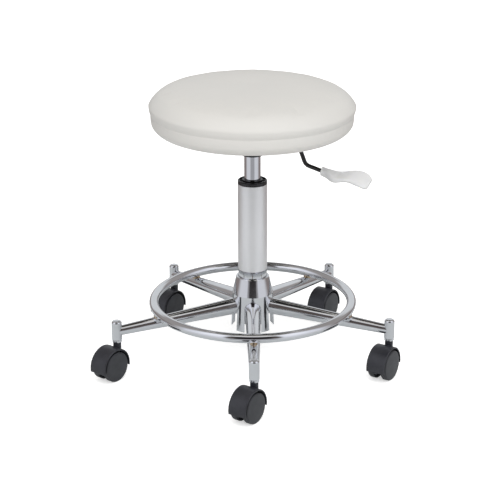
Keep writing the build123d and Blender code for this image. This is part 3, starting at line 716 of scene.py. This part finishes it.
# What the chrome mirrors, in degrees, both sides alike, each area laid over the ones before it.
# Azimuth 0 is the camera's side, 180 is behind the stool.
# (azimuth from, to, elevation from, to, softness sideways, softness upwards, colour)
STUDIO = (
    (0, 180, -90, -25, 4, 4, (0.60, 0.62, 0.64)),
    (0, 180, -25, 3, 4, 4, (0.26, 0.225, 0.22)),
    (0, 90, -24, 3, 16, 4, (0.68, 0.69, 0.73)),
    (0, 28, -24, 3, 5, 4, (0.38, 0.38, 0.40)),
    (80, 165, 4, 70, 10, 6, (0.34, 0.32, 0.315)),
    (136, 180, 3, 34, 7, 5, (0.70, 0.72, 0.74)),
    (0, 86, 2, 68, 14, 5, (0.84, 0.86, 0.93)),
    (38, 66, 26, 70, 6, 6, (1.00, 1.01, 1.07)),
    (0, 31, 2, 52, 4, 4, (0.10, 0.085, 0.08)),
    (0, 21, 1, 50, 3, 4, (0.018, 0.015, 0.016)),
    (0, 50, 58, 82, 10, 4, (0.70, 0.68, 0.66)),
)
STUDIO_DARK = (0.04, 0.034, 0.03)
AMBIENT_LOW = (0.41, 0.43, 0.46)
AMBIENT_HIGH = (0.575, 0.565, 0.545)


def world():
    """White surroundings for the camera, plain soft light for matt pieces, and the studio for what shines."""
    made = bpy.data.worlds.new("studio")
    scene.world = made
    made.use_nodes = True
    tree = made.node_tree
    tree.nodes.clear()

    def maths(operation, *values):
        return add_node(tree, "ShaderNodeMath", dict(enumerate(values)), operation=operation).outputs[0]

    def mixed(share, first, second):
        inputs = {"Factor": share, 6: first, 7: second}
        return add_node(tree, "ShaderNodeMix", inputs, data_type="RGBA").outputs[2]

    def background(colour):
        return add_node(tree, "ShaderNodeBackground", {"Color": colour, "Strength": 1.0}).outputs[0]

    def chosen(share, first, second):
        return add_node(tree, "ShaderNodeMixShader", {0: share, 1: first, 2: second}).outputs[0]

    def step(value, edge, soft):
        inputs = {"Value": value, "From Min": edge - soft, "From Max": edge + soft}
        return add_node(tree, "ShaderNodeMapRange", inputs, interpolation_type="SMOOTHSTEP").outputs["Result"]

    def band(value, low, high, soft):
        return maths("MULTIPLY", step(value, low, soft), maths("SUBTRACT", 1.0, step(value, high, soft)))

    generated = add_node(tree, "ShaderNodeTexCoord").outputs["Generated"]
    sky = add_node(tree, "ShaderNodeSeparateXYZ", {0: generated}).outputs
    towards_camera = maths("MULTIPLY", sky[1], -1.0)
    azimuth = maths("DEGREES", maths("ABSOLUTE", maths("ARCTAN2", sky[0], towards_camera)))
    elevation = maths("DEGREES", maths("ARCSINE", sky[2]))
    studio = (*STUDIO_DARK, 1.0)
    for az_low, az_high, el_low, el_high, az_soft, el_soft, tone in STUDIO:
        # An area that reaches the end of the scale keeps its full strength there
        low = az_low - 2 * az_soft if az_low == 0 else az_low
        high = az_high + 2 * az_soft if az_high == 180 else az_high
        bottom = el_low - 2 * el_soft if el_low == -90 else el_low
        sideways = band(azimuth, low, high, az_soft)
        upwards = band(elevation, bottom, el_high, el_soft)
        share = maths("MULTIPLY", sideways, upwards)
        studio = mixed(share, studio, (*tone, 1.0))
    height = add_node(tree, "ShaderNodeMapRange", {"Value": sky[2], "From Min": 0.0, "From Max": 0.7})
    ambient = mixed(height.outputs["Result"], (*AMBIENT_LOW, 1.0), (*AMBIENT_HIGH, 1.0))
    path = add_node(tree, "ShaderNodeLightPath").outputs
    plain = chosen(path["Is Camera Ray"], background(ambient), background((1.0, 1.0, 1.0, 1.0)))
    both = chosen(path["Is Glossy Ray"], plain, background(studio))
    add_node(tree, "ShaderNodeOutputWorld", {"Surface": both})


def sun():
    """A broad distant light that lights without showing as a shape in the chrome."""
    light = bpy.data.lights.new("key", "SUN")
    light.energy = SUN_STRENGTH
    light.angle = math.radians(SUN_SPREAD)
    lamp = bpy.data.objects.new("key", light)
    lamp.rotation_euler = (math.radians(90.0 - SUN_ELEVATION), 0.0, math.radians(SUN_AZIMUTH))
    lamp.visible_glossy = False
    scene.collection.objects.link(lamp)


def camera():
    """The camera: tilted down and rolled at its place, then turned with it round the stool's axis."""
    data = bpy.data.cameras.new("camera")
    data.lens = CAMERA_LENS
    data.sensor_width = SENSOR_WIDTH
    data.clip_end = CLIP_END
    eye = bpy.data.objects.new("camera", data)
    down = Matrix.Rotation(math.radians(90.0 - CAMERA_DOWN), 4, "X")
    roll = Matrix.Rotation(math.radians(CAMERA_ROLL), 4, "Z")
    turn = Matrix.Rotation(math.radians(CAMERA_TURN), 4, "Z")
    eye.matrix_world = turn @ Matrix.Translation(CAMERA_PLACE) @ down @ roll
    scene.collection.objects.link(eye)
    scene.camera = eye


paint_cad()
seat_cushion()
seat_foam()
dust_cover()
cover_staples()
floor()
mirrored_floor()
world()
sun()
camera()
scene.view_settings.view_transform = "Standard"
